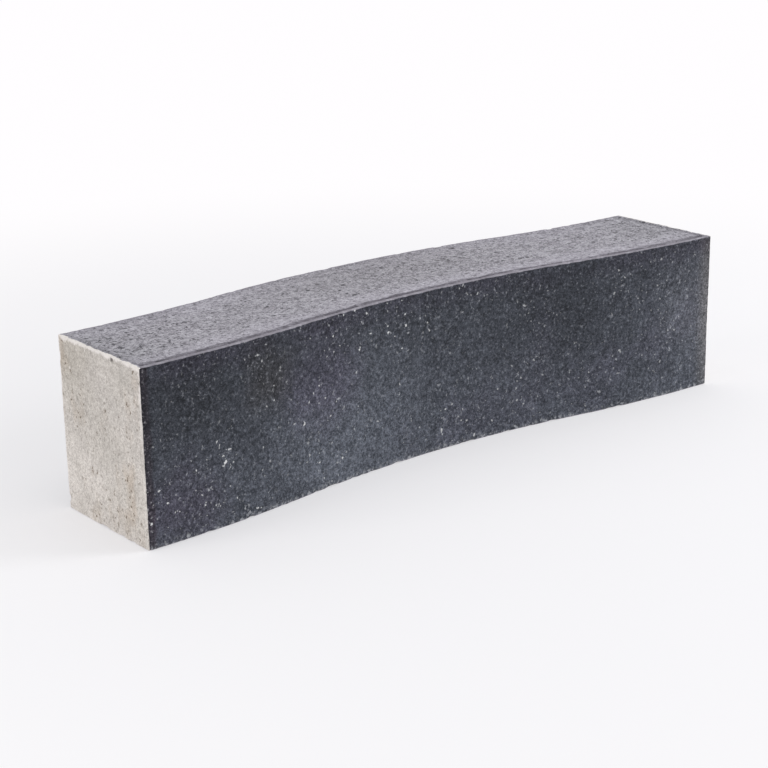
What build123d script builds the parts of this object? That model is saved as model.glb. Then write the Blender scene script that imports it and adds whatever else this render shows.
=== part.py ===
from build123d import *
import os
from math import atan2, degrees, sin

# A cast concrete wall block, stacked dry in courses with half a block of overlap.
# It is one solid: a straight prism whose plan follows one full wave along the wall.
# The front and back faces are the same wave, one block width apart, so a block turned
# end for end carries the wave of the course below on without a step.
# +X runs along the wall, the front faces -Y, and the origin is under the middle of the block.

# Driving dimensions in millimetres
length = 600.0  # along the wall, from end face to end face
width = 115.0  # from front to back, the same all along the wave
height = 140.0  # one course
wave_depth = 25.0  # from the crests at the ends of the front face to its hollow
corner_radius = 2.5  # the four upright corners
arris_radius = 1.5  # the edge round the bottom bed
rim_width = 4.0  # the burr that the press plate leaves round the top bed
rim_height = 1.0  # how far the top bed is pressed below that burr
rim_radius = 0.4  # the worn edges of the burr

# The wave is made of arcs, tangent where the curve changes from crest to hollow
half_depth = wave_depth / 2
quarter_length = length / 4
arc_turn = 2 * atan2(half_depth, quarter_length)
arc_radius = quarter_length / sin(arc_turn)


def wave(start, direction):
    """One long side of the plan from a corner, going to +X (direction 1) or to -X (direction -1)."""
    turn = direction * degrees(arc_turn)
    first = JernArc(start, (direction, 0), arc_radius, turn)
    middle = JernArc(first @ 1, first % 1, arc_radius, -2 * turn)
    last = JernArc(middle @ 1, middle % 1, arc_radius, turn)
    return [first, middle, last]


# Plan of the block, with its upright corners eased
front = wave((-length / 2, -width / 2 - half_depth), 1)
back = wave((length / 2, width / 2 - half_depth), -1)
right_end = Line(front[-1] @ 1, back[0] @ 0)
left_end = Line(back[-1] @ 1, front[0] @ 0)
plan = make_face(front + [right_end] + back + [left_end])
corners = plan.vertices().group_by(Axis.X)
plan = fillet(corners[0] + corners[-1], corner_radius)

# The prism, with the top bed pressed down inside its rim
pressed_bed = offset(plan, amount=-rim_width)
block = extrude(plan, height)
block -= Pos(0, 0, height - rim_height) * extrude(pressed_bed, rim_height)

# Eased edges: round the bottom bed and on both sides of the rim
block = fillet(block.edges().group_by(Axis.Z)[0], arris_radius)
block = fillet(block.edges().group_by(Axis.Z)[-1], rim_radius)

os.makedirs("parts", exist_ok=True)
export_step(block, "parts/wall_block.step")
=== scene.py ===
import math
from itertools import accumulate

import bmesh
import bpy
from mathutils import Matrix, Vector, noise


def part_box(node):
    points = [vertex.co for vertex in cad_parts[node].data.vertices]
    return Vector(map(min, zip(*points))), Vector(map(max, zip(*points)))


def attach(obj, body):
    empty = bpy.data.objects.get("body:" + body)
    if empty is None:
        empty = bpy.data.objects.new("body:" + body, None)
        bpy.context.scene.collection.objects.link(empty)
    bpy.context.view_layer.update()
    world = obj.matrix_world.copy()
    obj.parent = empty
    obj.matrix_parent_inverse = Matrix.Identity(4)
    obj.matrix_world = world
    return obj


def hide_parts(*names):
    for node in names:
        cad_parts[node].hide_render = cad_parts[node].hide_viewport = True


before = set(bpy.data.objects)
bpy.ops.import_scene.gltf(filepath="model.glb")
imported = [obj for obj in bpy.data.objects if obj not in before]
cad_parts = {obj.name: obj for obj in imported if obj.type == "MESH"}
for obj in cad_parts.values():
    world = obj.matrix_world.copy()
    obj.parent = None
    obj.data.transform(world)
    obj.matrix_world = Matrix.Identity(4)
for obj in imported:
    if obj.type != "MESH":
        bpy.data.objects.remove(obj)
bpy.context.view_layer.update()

# The block: dry-cast concrete, vibrated and pressed in a steel mould and stripped upwards in one piece.
# Its long faces follow one full wave from end to end, its ends and beds are flat, and the press plate
# leaves a thin burr round the top bed. Sizes are in metres.
MM = 0.001
low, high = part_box("wall_block")
length = high.x - low.x
height = high.z - low.z
wave_depth = 25 * MM
width = high.y - low.y - wave_depth
half_size = Vector((length, width, height)) / 2

# Mesh lines across each side: close together by the arrises, where it wears, and even between them
edge_gaps = [0.4 * MM, 0.5 * MM, 0.6 * MM, 0.7 * MM, 0.8 * MM, 1.0 * MM, 1.2 * MM, 1.6 * MM]
face_pitch = 2.4 * MM


def mesh_lines(span):
    """Places of the mesh lines across a side of the block, measured from its middle."""
    near = [0.0, *accumulate(edge_gaps)]
    between = span - 2 * near[-1]
    steps = round(between / face_pitch)
    even = [near[-1] + between * step / steps for step in range(1, steps)]
    places = near + even + [span - gap for gap in reversed(near)]
    return [place - span / 2 for place in places]


shape = bmesh.new()
bmesh.ops.create_cube(shape, size=1.0)
side_lines = [mesh_lines(2 * half) for half in half_size]
for axis, lines in enumerate(side_lines):
    along = [edge for edge in shape.edges if abs((edge.verts[0].co - edge.verts[1].co)[axis]) > 0.5]
    bmesh.ops.subdivide_edges(shape, edges=along, cuts=len(lines) - 2, use_grid_fill=True)
for vert in shape.verts:
    for axis, lines in enumerate(side_lines):
        vert.co[axis] = lines[round((vert.co[axis] + 0.5) * (len(lines) - 1))]

# The wave: arcs that meet where the curve changes from crest to hollow, as in the mould
half_depth = wave_depth / 2
quarter_length = length / 4
arc_radius = (quarter_length**2 + half_depth**2) / (2 * half_depth)


def wave(x):
    """How far the block's middle line lies behind y = 0 at x."""
    near_end = abs(x) > quarter_length
    reach = length / 2 - abs(x) if near_end else abs(x)
    rise = half_depth - arc_radius + math.sqrt(arc_radius**2 - reach**2)
    return -rise if near_end else rise


def ramp(start, end, value):
    """0 before start and 1 past end, smooth between them."""
    share = min(max((value - start) / (end - start), 0.0), 1.0)
    return share * share * (3 - 2 * share)


def pores(point, cell, limit, radius):
    """Depth, from 0 to 1, of round pores of about that radius, in the grid cells that draw under limit."""
    distances, centres = noise.voronoi(point / cell)
    chance = noise.noise(centres[0] * 3.7) * 0.5 + 0.5
    if chance > limit:
        return 0.0
    spread = distances[0] * cell / (radius * (0.6 + 0.8 * chance / limit))
    return max(0.0, 1 - spread * spread)


# Wear and relief: eased and crumbled arrises, the pressed top bed inside its burr, pores and uneven skin
arris_radius = Vector((1.2 * MM, 1.2 * MM, 1.0 * MM))
rim_width = 4.0 * MM
rim_height = 0.9 * MM
rim_wander = 0.7 * MM
rim_slope = (-1.0 * MM, 0.4 * MM)  # where the slope down to the bed starts and ends, past the rim's width
groove_depth = 0.4 * MM
groove_offset = 1.0 * MM
groove_half = 1.6 * MM
chip_reach = 5.0 * MM
chip_depth = 1.3 * MM
crumb_reach = 2.6 * MM
crumb_depth = 0.6 * MM
bed_skin = 0.34 * MM
face_skin = 0.20 * MM
pore_depth = 0.9 * MM

# Pores of each side, as the cell of their loose grid, the draw under which a cell has one, and the radius
bed_pores = (14 * MM, 0.36, 2.4 * MM)
end_pores = (14 * MM, 0.34, 2.0 * MM)
face_pores = (22 * MM, 0.34, 2.0 * MM)

# Noise of the relief, as features to the metre
swell_noise = 90
grit_noise = 330
chip_noise = 120
loose_noise = 26
wander_noise = 140
wear_noise = 22

inner_half = half_size - arris_radius
touching = 1e-6
pore_values = []
gap_values = []
for vert in shape.verts:
    point = vert.co.copy()
    gaps = Vector([half_size[axis] - abs(point[axis]) for axis in range(3)])
    edge_gap = sorted(gaps)[1]
    on_end = gaps.x < touching
    on_bed = gaps.z < touching

    # Ease the arris: the point goes to the round that joins the two faces
    core = Vector([min(max(point[axis], -inner_half[axis]), inner_half[axis]) for axis in range(3)])
    out = Vector([(point[axis] - core[axis]) / arris_radius[axis] for axis in range(3)])
    out.normalize()
    eased = core + Vector([out[axis] * arris_radius[axis] for axis in range(3)])

    # Skin of the face, and the pores in it
    skin = bed_skin if on_bed else face_skin
    uneven = 0.5 + 0.3 * noise.noise(point * swell_noise) + 0.2 * noise.noise(point * grit_noise)
    if on_bed:
        pore = pores(point, *bed_pores)
    elif on_end:
        pore = pores(point, *end_pores)
    else:
        pore = pores(point, *face_pores)
    depth = skin * uneven + pore * pore_depth

    # Chips and crumbs along the arrises
    chipped = ramp(0.25, 0.60, noise.noise(point * chip_noise + Vector((3.1, 0, 0))))
    chip = chipped * ramp(chip_reach, 0, edge_gap) ** 2
    loose = 0.3 + 0.7 * ramp(-0.15, 0.35, noise.noise(point * loose_noise))
    crumb = loose * (0.5 + 0.5 * noise.noise(point * grit_noise)) * ramp(crumb_reach, 0, edge_gap)
    depth += chip * chip_depth + crumb * crumb_depth
    moved = eased - out * depth

    # The top bed, pressed down inside the burr
    if on_bed and point.z > 0:
        wander = rim_wander * noise.noise(point * wander_noise)
        worn = 0.75 + 0.35 * noise.noise(point * wear_noise)
        inside = ramp(rim_width + rim_slope[0], rim_width + rim_slope[1], edge_gap + wander)
        groove = max(0.0, 1 - ((edge_gap + wander - rim_width - groove_offset) / groove_half) ** 2)
        moved.z -= rim_height * min(worn, 1.0) * inside + groove_depth * groove

    vert.co = moved + Vector((0, wave(moved.x), half_size.z))
    pore_values.append(pore)
    gap_values.extend(gaps)

# Each point keeps how deep it lies in a pore, and how far it is from an end, a long face and a bed
block_mesh = bpy.data.meshes.new("wall_block_cast")
shape.to_mesh(block_mesh)
shape.free()
block_mesh.shade_smooth()
block_mesh.attributes.new("pore", "FLOAT", "POINT").data.foreach_set("value", pore_values)
block_mesh.attributes.new("gaps", "FLOAT_VECTOR", "POINT").data.foreach_set("vector", gap_values)
block = bpy.data.objects.new("wall_block_cast", block_mesh)
bpy.context.scene.collection.objects.link(block)


class Wire:
    """A socket of a material's node tree. Arithmetic on wires adds Math nodes."""

    def __init__(self, socket):
        self.socket = socket

    def node(self, kind, settings, inputs, output=0):
        """Adds a node of that kind to the tree, sets it, feeds it and gives one of its outputs."""
        tree = self.socket.id_data
        made = tree.nodes.new(kind)
        for name, value in settings.items():
            setattr(made, name, value)
        for name, value in inputs.items():
            if isinstance(value, Wire):
                tree.links.new(value.socket, made.inputs[name])
            else:
                made.inputs[name].default_value = value
        return Wire(made.outputs[output])

    def other(self, output):
        """Another output of the node that this wire comes from."""
        return Wire(self.socket.node.outputs[output])

    def math(self, operation, first, second):
        return self.node("ShaderNodeMath", {"operation": operation}, {0: first, 1: second})

    def __add__(self, term):
        return self.math("ADD", self, term)

    def __sub__(self, term):
        return self.math("SUBTRACT", self, term)

    def __rsub__(self, term):
        return self.math("SUBTRACT", term, self)

    def __mul__(self, term):
        return self.math("MULTIPLY", self, term)

    def __truediv__(self, term):
        return self.math("DIVIDE", self, term)

    __radd__ = __add__
    __rmul__ = __mul__

    def ramp(self, start, end):
        """0 before start and 1 past end, smooth between them."""
        inputs = {"Value": self, "From Min": start, "From Max": end}
        return self.node("ShaderNodeMapRange", {"interpolation_type": "SMOOTHSTEP"}, inputs)

    def tint(self, under, over):
        """The colour under where this wire is 0, turning to the colour over where it is 1."""
        return self.node("ShaderNodeMix", {"data_type": "RGBA"}, {0: self, 6: under, 7: over}, 2)

    def wash(self, under, red, green, blue):
        """The colour under, its light multiplied by those shares where this wire is 1."""
        shares = (red, green, blue, 1.0)
        settings = {"data_type": "RGBA", "blend_type": "MULTIPLY"}
        return self.node("ShaderNodeMix", settings, {0: self, 6: under, 7: shares}, 2)


def shade(red, green, blue):
    """A colour given as it shows on screen, 0 to 255, turned to light values."""
    return (*[((level / 255 + 0.055) / 1.055) ** 2.4 for level in (red, green, blue)], 1.0)


# Concrete: a dark slate skin on the long faces, a paler violet grey where the press plate opened the grain
# of the beds, and bare sand-coloured ends, all with sand grains, pores and cloudy stains. These colours are
# partly the block's own and partly painted light: the ends are painted paler and warmer as if lit by a
# strong warm lamp, and the long faces darker and bluer as if in shade.
concrete = bpy.data.materials.new("cast_concrete")
concrete.use_nodes = True
tree = concrete.node_tree
finish = tree.nodes["Principled BSDF"]
place = Wire(tree.nodes.new("ShaderNodeTexCoord").outputs["Object"])


def grain(where, scale, detail, roughness=0.55, output="Fac"):
    """Noise with features of about one metre over scale."""
    inputs = {"Vector": where, "Scale": scale, "Detail": detail, "Roughness": roughness}
    return place.node("ShaderNodeTexNoise", {}, inputs, output)


def shifted(scale, by):
    """Object coordinates pushed about by noise of that scale, by up to that length."""
    drift = {0: grain(place, scale, 2.0, output="Color"), 1: (2 * by,) * 3, 2: (-by,) * 3}
    push = place.node("ShaderNodeVectorMath", {"operation": "MULTIPLY_ADD"}, drift, "Vector")
    return place.node("ShaderNodeVectorMath", {"operation": "ADD"}, {0: place, 1: push}, "Vector")


# Noises of the finish, from the finest sand to the widest clouds
fine = grain(place, 950.0, 2.0, 0.6)
sandy = grain(place, 430.0, 2.5, 0.6)
coarse = grain(place, 170.0, 2.0)
patches = grain(place, 55.0, 2.0)
lumps = grain(shifted(300.0, 1.2 * MM), 300.0, 2.0)
hollows = grain(shifted(300.0, 1.2 * MM), 165.0, 2.0)
sparks = grain(shifted(600.0, 0.9 * MM), 260.0, 1.5)
crumble = grain(place, 120.0, 3.0, 0.65)
cloud = grain(place, 17.0, 3.0)
wide = grain(place, 7.0, 2.0)

# Where a point lies: along, across and up the block, in a pore, and how far from an end, a face and a bed
axes = place.node("ShaderNodeSeparateXYZ", {}, {0: place}, "X")
up = axes.other("Z")
front_side = axes.other("Y").ramp(0.01, -0.03)
back_side = axes.other("Y").ramp(-0.03, 0.04)
pore = place.node("ShaderNodeAttribute", {"attribute_name": "pore"}, {}, "Fac")
gaps = place.node("ShaderNodeAttribute", {"attribute_name": "gaps"}, {}, "Vector")
from_end = place.node("ShaderNodeSeparateXYZ", {}, {0: gaps}, "X")
from_face = from_end.other("Y")
from_bed = from_end.other("Z")
ragged_spread = 8.0 * MM
ragged = (crumble - 0.5) * ragged_spread
on_top = up.ramp(height * 0.5, height * 0.9)

# Long faces: gritty slate, its darkness and blue partly painted shade, paler towards the foot, dark and
# plum-tinted along the top
grit = fine * 0.42 + sandy * 0.38 + coarse * 0.20
slate = grit.ramp(0.37, 0.69).tint(shade(32, 34, 39), shade(79, 82, 90))
slate = patches.ramp(0.35, 0.65).wash(slate, 1.16, 1.16, 1.16)
slate = (up.ramp(height, 0.0) * (cloud * 0.8 + 0.3)).wash(slate, 1.8, 1.8, 1.8)
slate = (wide.ramp(0.45, 0.70) * cloud.ramp(0.40, 0.62)).wash(slate, 0.98, 0.94, 0.98)
slate = (up.ramp(height - 26 * MM, height - 3 * MM) * cloud.ramp(0.25, 0.6)).wash(slate, 0.84, 0.77, 0.84)

# Stains on the front, in millimetres: x and z of the middle, reach, and the shares of light that they
# leave. The pale one at x -95 and the dark one at x 130 are painted light and shade of the wave's two
# flanks; the others are stains.
front_stains_and_wave_shade = [
    (-183, 105, 40, (0.86, 0.80, 0.73)),
    (-258, 104, 52, (0.72, 0.72, 0.71)),
    (-128, 90, 58, (0.99, 0.90, 0.99)),
    (-262, 24, 50, (1.02, 0.92, 0.99)),
    (-95, 38, 125, (1.50, 1.50, 1.48)),
    (130, 92, 80, (0.78, 0.78, 0.78)),
    (288, 82, 74, (1.62, 1.57, 1.52)),
]
drifted = shifted(30.0, 22 * MM)
for x, z, reach, shares in front_stains_and_wave_shade:
    middle = (x * MM, wave(x * MM) - width / 2, z * MM)
    away = place.node("ShaderNodeVectorMath", {"operation": "DISTANCE"}, {0: drifted, 1: middle}, "Value")
    slate = away.ramp(reach * MM, reach * 0.15 * MM).wash(slate, *shares)

# A dark plum strip up the left corner, which is painted shade beside the eased arris, a tan one up the
# right, and pale crumbs along the foot
corner_shade_strip = (from_end + ragged).ramp(9.0 * MM, 5.0 * MM)
slate = (corner_shade_strip * axes.ramp(0.1, -0.1)).wash(slate, 0.66, 0.56, 0.57)
slate = (from_end.ramp(20 * MM, 2 * MM) * axes.ramp(-0.1, 0.1)).wash(slate, 1.45, 1.34, 1.18)
corner = (from_end + ragged).ramp(6.0 * MM, 2.0 * MM) * sandy.ramp(0.55, 0.70)
slate = (corner * 0.6).tint(slate, shade(150, 144, 146))
foot = (up + ragged).ramp(5.0 * MM, 0.5 * MM) * crumble.ramp(0.45, 0.60)
slate = (foot * 0.6).tint(slate, shade(118, 119, 123))
crumbs = (up + ragged * 0.5).ramp(6.0 * MM, 1.0 * MM) * lumps.ramp(0.50, 0.62)
slate = (crumbs * 0.7).tint(slate, shade(168, 169, 173))

# Sand grains in the slate: many faint ones and a few that are almost white, fewer and fainter high on the
# left
high_left_dimming = up.ramp(height * 0.55, height * 0.8) * axes.ramp(-0.20, -0.26)
slate = (sandy.ramp(0.58, 0.78) * 0.55).tint(slate, shade(140, 142, 148))
pale = lumps.ramp(0.61, 0.80) * cloud.ramp(0.32, 0.64) * (1 - high_left_dimming * 0.5)
slate = pale.tint(slate, shade(172, 173, 177))
bright = sparks.ramp(0.67, 0.76) * cloud.ramp(0.37, 0.56) * (axes.ramp(0.15, -0.10) * 0.5 + 0.5)
bright = bright * (1 - high_left_dimming * 0.8)
slate = bright.tint(slate, shade(210, 210, 210))

# Beds: open grain with many small pits, smoother and paler beside the long edges, most of all the front
# one, and darker by the ends and at the back of the middle
small_pits = lumps.ramp(0.39, 0.30)
by_end = from_end.ramp(170 * MM, 40 * MM) * 0.02
shaded_pits = place.math("MAXIMUM", (lumps - by_end).ramp(0.39, 0.30), (hollows - by_end).ramp(0.38, 0.31))
rough = fine * 0.34 + sandy * 0.42 + coarse * 0.24
bed = rough.ramp(0.36, 0.64).tint(shade(106, 103, 109), shade(188, 185, 192))
bed = patches.ramp(0.35, 0.65).wash(bed, 1.07, 1.07, 1.07)
bed = (from_end.ramp(75 * MM, 5 * MM) * cloud.ramp(0.3, 0.6)).wash(bed, 0.91, 0.92, 0.91)
beside = (from_face + (cloud - 0.5) * (40 * MM)).ramp(40 * MM, 8 * MM)
beside = beside * (front_side * 0.5 + 0.5)
bed = beside.wash(bed, 1.13, 1.12, 1.14)
bed = (beside * 0.25).tint(bed, shade(172, 168, 177))
bed = (from_end.ramp(120 * MM, 260 * MM) * back_side).wash(bed, 0.88, 0.88, 0.87)
# The pits are darkened: painted shade in their hollows, less beside the long edges
bed = (shaded_pits * (1 - beside * 0.5)).wash(bed, 0.26, 0.26, 0.27)
bed = (sparks.ramp(0.69, 0.80) * 0.6).tint(bed, shade(208, 205, 210))

# The burr round the top bed: a worn grey line, and behind it a dark band of painted shade, where the raised
# rim shades the groove, with a few gaps
from_edge = place.math("MINIMUM", from_face, from_end) + ragged * 0.3
wandering = ragged * 0.3 + (patches - 0.5) * (9 * MM)
by_front = (from_face + wandering).ramp(11.5 * MM, 8.5 * MM) * (front_side * 0.85 + 0.15)
by_rim = place.math("MAXIMUM", by_front, (from_end + ragged * 0.3).ramp(8.5 * MM, 5.5 * MM) * 0.4)
burr_shade_patches = cloud.ramp(0.30, 0.46) * 0.4 + patches.ramp(0.34, 0.48) * 0.35
burr_shade_patches = burr_shade_patches + crumble.ramp(0.36, 0.54) * 0.25
# The band behind the burr is painted shade, patchy and strongest along the front
shade_behind_burr = from_edge.ramp(rim_width - 0.8 * MM, rim_width + 0.4 * MM) * by_rim * burr_shade_patches * on_top
bed = shade_behind_burr.wash(bed, 0.31, 0.30, 0.32)
rim = (from_face + ragged * 0.3).ramp(rim_width, rim_width - 1.2 * MM) * on_top
bed = (rim * (crumble.ramp(0.35, 0.6) * 0.4 + 0.5)).tint(bed, shade(134, 130, 138))

# Ends: bare sand-coloured core with a few brown pores, faint stains and pale crumbly edges; its paleness
# and warmth are partly painted light, as if the end were lit by a strong warm lamp
upright = place.node("ShaderNodeMapping", {}, {"Vector": place, "Scale": (1.0, 1.0, 0.5)})
stain = grain(upright, 45.0, 3.0)
bare_and_lit_end = grit.ramp(0.35, 0.65).tint(shade(181, 174, 168), shade(232, 226, 220))
bare_and_lit_end = patches.ramp(0.35, 0.65).wash(bare_and_lit_end, 1.10, 1.10, 1.10)
bare_and_lit_end = cloud.ramp(0.42, 0.62).wash(bare_and_lit_end, 0.93, 0.93, 0.92)
bare_and_lit_end = up.ramp(0.0, height).wash(bare_and_lit_end, 0.86, 0.86, 0.86)
bare_and_lit_end = (up.ramp(height * 0.5, height) * back_side).wash(bare_and_lit_end, 0.93, 0.92, 0.89)
bare_and_lit_end = (up.ramp(height * 0.6, height * 0.2) * back_side).wash(bare_and_lit_end, 1.06, 1.06, 1.06)
bare_and_lit_end = stain.ramp(0.50, 0.72).wash(bare_and_lit_end, 0.88, 0.83, 0.78)
bare_and_lit_end = (lumps.ramp(0.42, 0.32) * stain.ramp(0.38, 0.60)).wash(bare_and_lit_end, 0.40, 0.36, 0.30)
bare_and_lit_end = (sparks.ramp(0.68, 0.80) * 0.8).tint(bare_and_lit_end, shade(236, 231, 227))
rubbed = (place.math("MINIMUM", from_face, from_bed) + ragged).ramp(3.6 * MM, 0.8 * MM)
bare_and_lit_end = (rubbed * (on_top * 0.6 + 0.25)).tint(bare_and_lit_end, shade(238, 232, 228))

# The three finishes meet along ragged lines at the arrises
at_bed = (from_bed + ragged * 0.2).ramp(1.1 * MM, 0.5 * MM)
end_reach = (0.6 * MM) + at_bed * (1.4 * MM)
at_end = ((from_end + ragged * (at_bed * 0.5 + 0.2)) / end_reach).ramp(1.25, 0.85)
skin_colour = at_bed.tint(slate, bed)
skin_colour = at_end.tint(skin_colour, bare_and_lit_end)
# Pores are darkened by their depth: painted shade in the hollows
skin_colour = pore.ramp(0.05, 0.8).wash(skin_colour, 0.30, 0.29, 0.29)
tree.links.new(skin_colour.socket, finish.inputs["Base Color"])

# A dull skin, with the grain and the small pits standing in its relief
roughness = 0.84 + fine * 0.12
tree.links.new(roughness.socket, finish.inputs["Roughness"])
finish.inputs["Specular IOR Level"].default_value = 0.2

relief = fine * (0.12 * MM) + sandy * (0.28 * MM) + coarse * (0.12 * MM) - small_pits * (0.4 * MM)
bump = place.node("ShaderNodeBump", {}, {"Strength": 0.8, "Distance": 1.0, "Height": relief}, "Normal")
tree.links.new(bump.socket, finish.inputs["Normal"])

block_mesh.materials.append(concrete)
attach(block, "root")
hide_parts("wall_block")

# The floor: a plain pale studio sheet that the block stands on
# It is white to the camera further out, and takes the block's soft shadow close by.
floor_half = 12.0
shape = bmesh.new()
bmesh.ops.create_grid(shape, x_segments=1, y_segments=1, size=floor_half)
floor_mesh = bpy.data.meshes.new("floor")
shape.to_mesh(floor_mesh)
shape.free()
floor = bpy.data.objects.new("floor", floor_mesh)
bpy.context.scene.collection.objects.link(floor)
paper = bpy.data.materials.new("pale_floor")
paper.use_nodes = True
sheet = paper.node_tree
matt = sheet.nodes["Principled BSDF"]
matt.inputs["Base Color"].default_value = shade(240, 239, 241)
matt.inputs["Roughness"].default_value = 0.95
matt.inputs["Specular IOR Level"].default_value = 0.1
spot = Wire(sheet.nodes.new("ShaderNodeTexCoord").outputs["Object"])
away = spot.node("ShaderNodeVectorMath", {"operation": "LENGTH"}, {0: spot}, "Value")
close_by = 0.3
further_out = 1.1
least_white = 0.4
whiteness = least_white + away.ramp(close_by, further_out) * (1 - least_white)


def seen_rays(wire):
    """1 for rays that show a surface in the picture: straight from the camera, mirrored or let through."""
    ray = wire.node("ShaderNodeLightPath", {}, {}, "Is Camera Ray")
    mirrored = ray.math("MAXIMUM", ray.other("Is Glossy Ray"), ray.other("Is Transmission Ray"))
    return ray.math("MAXIMUM", ray, mirrored)


background_white = (1.0, 0.985, 1.0, 1.0)
glow = spot.node("ShaderNodeEmission", {}, {"Color": background_white, "Strength": 1.0})
plain = Wire(matt.outputs[0])
blend = spot.node("ShaderNodeMixShader", {}, {0: seen_rays(spot) * whiteness, 1: plain, 2: glow})
sheet.links.new(blend.socket, sheet.nodes["Material Output"].inputs["Surface"])
floor_mesh.materials.append(paper)

# Light: an even pale room, a soft box behind the left end, one low on the right that rakes along the
# long face and shows its wave, and one overhead
world = bpy.data.worlds.new("studio")
bpy.context.scene.world = world
world.use_nodes = True
room = world.node_tree
even = room.nodes["Background"]
even.inputs["Color"].default_value = (0.96, 0.98, 1.0, 1.0)
even.inputs["Strength"].default_value = 0.62
room_light = Wire(even.outputs[0])
white = room_light.node("ShaderNodeBackground", {}, {"Color": background_white, "Strength": 1.0})
both = room_light.node("ShaderNodeMixShader", {}, {0: seen_rays(room_light), 1: room_light, 2: white})
room.links.new(both.socket, room.nodes["World Output"].inputs["Surface"])


def soft_box(name, place, aim, size, watts, colour):
    """A square area lamp at a place, turned to a point."""
    lamp = bpy.data.lights.new(name, "AREA")
    lamp.shape = "SQUARE"
    lamp.size = size
    lamp.energy = watts
    lamp.color = colour
    holder = bpy.data.objects.new(name, lamp)
    facing = (Vector(aim) - Vector(place)).to_track_quat("-Z", "Y")
    holder.matrix_world = Matrix.Translation(place) @ facing.to_matrix().to_4x4()
    bpy.context.scene.collection.objects.link(holder)


soft_box("left_box", (-1.9, 0.25, 0.9), (-0.3, 0.0, 0.1), size=0.9, watts=9.5, colour=(1.0, 0.97, 0.94))
soft_box("right_box", (1.8, -1.3, 0.8), (0.0, -0.1, 0.07), size=0.9, watts=31.0, colour=(0.98, 0.99, 1.0))
soft_box("top_box", (0.0, -0.3, 2.2), (0.0, 0.0, 0.1), size=1.6, watts=8.0, colour=(1.0, 1.0, 1.0))

# The camera: the photograph's angle on the block, from the left of its front and a little above it.
# It is aimed at the middle of the block, rolled by under a degree, and has no shift.
camera_place = Vector((-0.935, -1.140, 0.522))
camera_aim = Vector((-0.019, 0.005, 0.050))
camera_roll = math.radians(0.9)
lens = bpy.data.cameras.new("camera")
lens.sensor_width = 36.0
lens.lens = 86.0
camera = bpy.data.objects.new("camera", lens)
facing = (camera_aim - camera_place).to_track_quat("-Z", "Y").to_matrix().to_4x4()
camera.matrix_world = Matrix.Translation(camera_place) @ facing @ Matrix.Rotation(-camera_roll, 4, "Z")
bpy.context.scene.collection.objects.link(camera)
bpy.context.scene.camera = camera
bpy.context.scene.view_settings.view_transform = "Standard"
